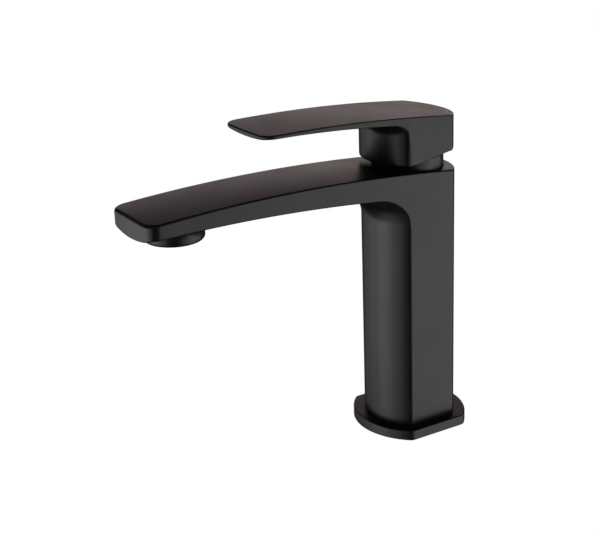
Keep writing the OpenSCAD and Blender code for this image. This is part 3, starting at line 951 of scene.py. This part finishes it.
# %% [markdown]
# ## Floor, camera and light
# The tap stands on a plain white floor that gives its own even tone, so that it stays plain at every
# angle. The floor lets the light of low panels through: upright faces that are seen from above mirror
# what lies below them, and on the real set that is a pale table.

# %% Floor
floor_half = 20000
floor_mesh = bmesh.new()
bmesh.ops.create_grid(floor_mesh, x_segments=1, y_segments=1, size=floor_half)
floor = as_object(floor_mesh, "floor")
floor.location.z = cad_box[0].z - 0.0002
floor.visible_glossy = False
floor.visible_shadow = False
floor.visible_diffuse = False
pale = bpy.data.materials.new("pale_floor")
pale.use_nodes = True
pale_shader = pale.node_tree.nodes["Principled BSDF"]
pale_shader.inputs["Base Color"].default_value = (0, 0, 0, 1)
pale_shader.inputs["Specular IOR Level"].default_value = 0.0
pale_shader.inputs["Emission Color"].default_value = (1, 1, 1, 1)
pale_shader.inputs["Emission Strength"].default_value = 1.0
dress(floor, pale)
print("floor", 2 * floor_half * MM, "m wide")

# %% [markdown]
# The camera looks down a little from the front left of the tap, and leans by two degrees. Its axes are
# worked out one after another from the three angles, so that each angle can be read and changed.

# %% Camera
azimuth = math.radians(59.009)
pitch = math.radians(19.915)
roll = math.radians(-2.044)
distance, side_step, height = 0.69578, -0.05875, 0.34346
ahead = Vector((-math.sin(azimuth), math.cos(azimuth), 0))
across = Vector((math.cos(azimuth), math.sin(azimuth), 0))
straight_up = Vector((0, 0, 1))
look = ahead * math.cos(pitch) - straight_up * math.sin(pitch)
tilted_up = straight_up * math.cos(pitch) + ahead * math.sin(pitch)
right = across * math.cos(roll) + tilted_up * math.sin(roll)
camera_up = tilted_up * math.cos(roll) - across * math.sin(roll)
camera_data = bpy.data.cameras.new("camera")
camera_data.lens = 81.5
camera_data.sensor_width = 36
camera_data.clip_start = 0.01
camera = bpy.data.objects.new("camera", camera_data)
stand = Matrix.Translation(-ahead * distance + across * side_step + straight_up * height)
camera.matrix_world = stand @ Matrix((right, camera_up, -look)).transposed().to_4x4()
bpy.context.scene.collection.objects.link(camera)
bpy.context.scene.camera = camera
print("camera at", [round(v, 3) for v in camera.matrix_world.translation], "lens", camera_data.lens)

# %% [markdown]
# Black shows only what it mirrors, so the light is set by reflection. Two fans of low panels stand to
# the left and the right, brightest square to the sides and weaker towards the camera and the back.
# Their reflections make the even flats and the rounded tones on the column's front. Two low strips at
# the back, one yellowish and one pinkish, give both arched tops their warm sheen. Only a very weak
# panel stands by the camera, which keeps the corner between the front and the flat dark.


# %% Light panels
away = 1.2                                 # metres from the tap to every panel
tap_middle = Vector((0, -0.05, 0.1))


def panel(bearing, elevation, wide, tall, radiance, colour=(1, 1, 1)):
    """A panel seen from the tap at a bearing (from the camera, positive to its right), in degrees."""
    light = bpy.data.lights.new("panel", "AREA")
    light.shape = "RECTANGLE"
    light.size = 2 * away * math.tan(math.radians(wide / 2))
    light.size_y = 2 * away * math.tan(math.radians(tall / 2))
    light.energy = radiance * math.pi * light.size * light.size_y
    light.color = colour
    rise = math.radians(elevation)
    level = Matrix.Rotation(math.radians(bearing), 3, "Z") @ -ahead
    direction = level * math.cos(rise) + straight_up * math.sin(rise)
    lamp = bpy.data.objects.new("panel", light)
    lamp.location = tap_middle + direction * away
    lamp.rotation_mode = "QUATERNION"
    lamp.rotation_quaternion = (-direction).to_track_quat("-Z", "Y")
    lamp.visible_camera = False
    bpy.context.scene.collection.objects.link(lamp)


for bearing, radiance in [(45, 0.93), (75, 1.59), (105, 0.97), (135, 0.06),
                          (-45, 1.09), (-75, 2.11), (-105, 1.01), (-135, 0.33)]:
    panel(bearing, -15, 30, 30, radiance)
for bearing, radiance in [(75, 1.06), (-45, 0.29), (-75, 0.50)]:
    panel(bearing, -45, 30, 30, radiance)
panel(90, 15, 60, 30, 0.23)
panel(-90, 15, 60, 30, 0.16)
panel(0, 30, 90, 60, 0.077)
panel(180, 10, 50, 6, 1.0, (1.06, 1.06, 0.83))
panel(180, 16, 50, 6, 0.70, (1.17, 0.80, 1.04))
panel(180, 42, 60, 18, 0.20)

print("panels:", len(bpy.data.lights))

# %% [markdown]
# The world is white where the camera looks past the floor, and almost dark for everything else. Black
# would turn grey at once in a bright world.

# %% World
world = bpy.data.worlds.new("studio")
bpy.context.scene.world = world
world.use_nodes = True
sky = world.node_tree
backdrop = sky.nodes["Background"]
backdrop.inputs["Color"].default_value = (1, 1, 1, 1)
backdrop.inputs["Strength"].default_value = 1.0
dim = add(sky, "ShaderNodeBackground", values={"Color": (1, 1, 1, 1), "Strength": 0.004})
rays = add(sky, "ShaderNodeLightPath")
pick = add(sky, "ShaderNodeMixShader")
wire(sky,
     (rays, "Is Camera Ray", pick, "Fac"),
     (dim, "Background", pick, 1),
     (backdrop, "Background", pick, 2),
     (pick, "Shader", sky.nodes["World Output"], "Surface"))
bpy.context.scene.view_settings.view_transform = "Standard"
print("world is", dim.inputs["Strength"].default_value, "bright off camera")
